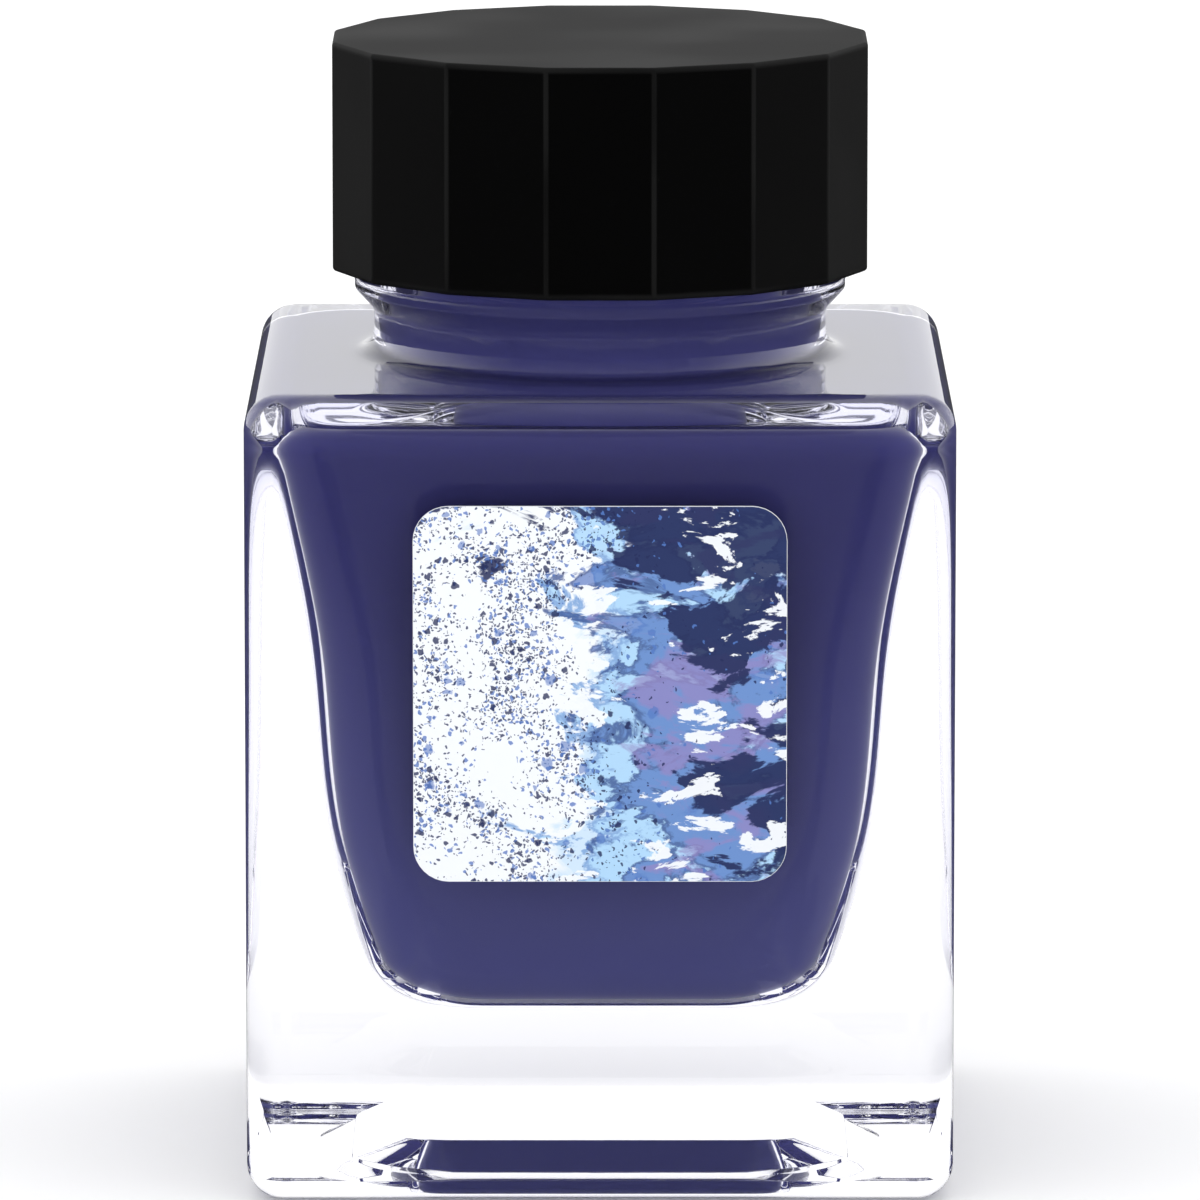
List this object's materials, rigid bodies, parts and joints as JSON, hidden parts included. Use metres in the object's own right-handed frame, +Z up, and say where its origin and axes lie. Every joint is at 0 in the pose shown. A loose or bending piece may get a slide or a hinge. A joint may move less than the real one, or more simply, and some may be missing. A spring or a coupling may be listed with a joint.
{
  "type": "ink bottle",
  "caption": "Square glass ink bottle with thick walls, a tapering ink well, a threaded neck, a faceted screw cap with a liner, and a square front label.",
  "frame": {"origin": "middle of the base, on the surface that the bottle stands on", "axes": "+Z up along the neck's axis, -Y out of the labelled front, +X to the right seen from the front"},
  "size_m": [0.04, 0.0401, 0.0641],
  "materials": {
    "clear_glass": "clear, polished",
    "ink": "dark indigo liquid",
    "black_cap": "satin black moulded plastic",
    "liner": "soft white foam",
    "label": "printed film sticker"
  },
  "bodies": {
    "bottle": {"glass_bottle": "clear_glass", "ink": "ink", "front_label": "label"},
    "liner": {"sealing_liner": "liner"},
    "cap": {"screw_cap": "black_cap"}
  },
  "joints": [
    {"name": "cap_rise", "type": "slide", "parent": "bottle", "child": "liner", "axis": [0, 0, 1], "range_m": [0, 0.01695]},
    {"name": "cap_turn", "type": "hinge", "parent": "liner", "child": "cap", "pos_m": [0, 0, 0.0615], "axis": [0, 0, 1], "range_deg": [0, 1440]}
  ],
  "couplings": [
    {"joint": "cap_rise", "follows": "cap_turn", "m_per_rad": 0.00067375}
  ]
}
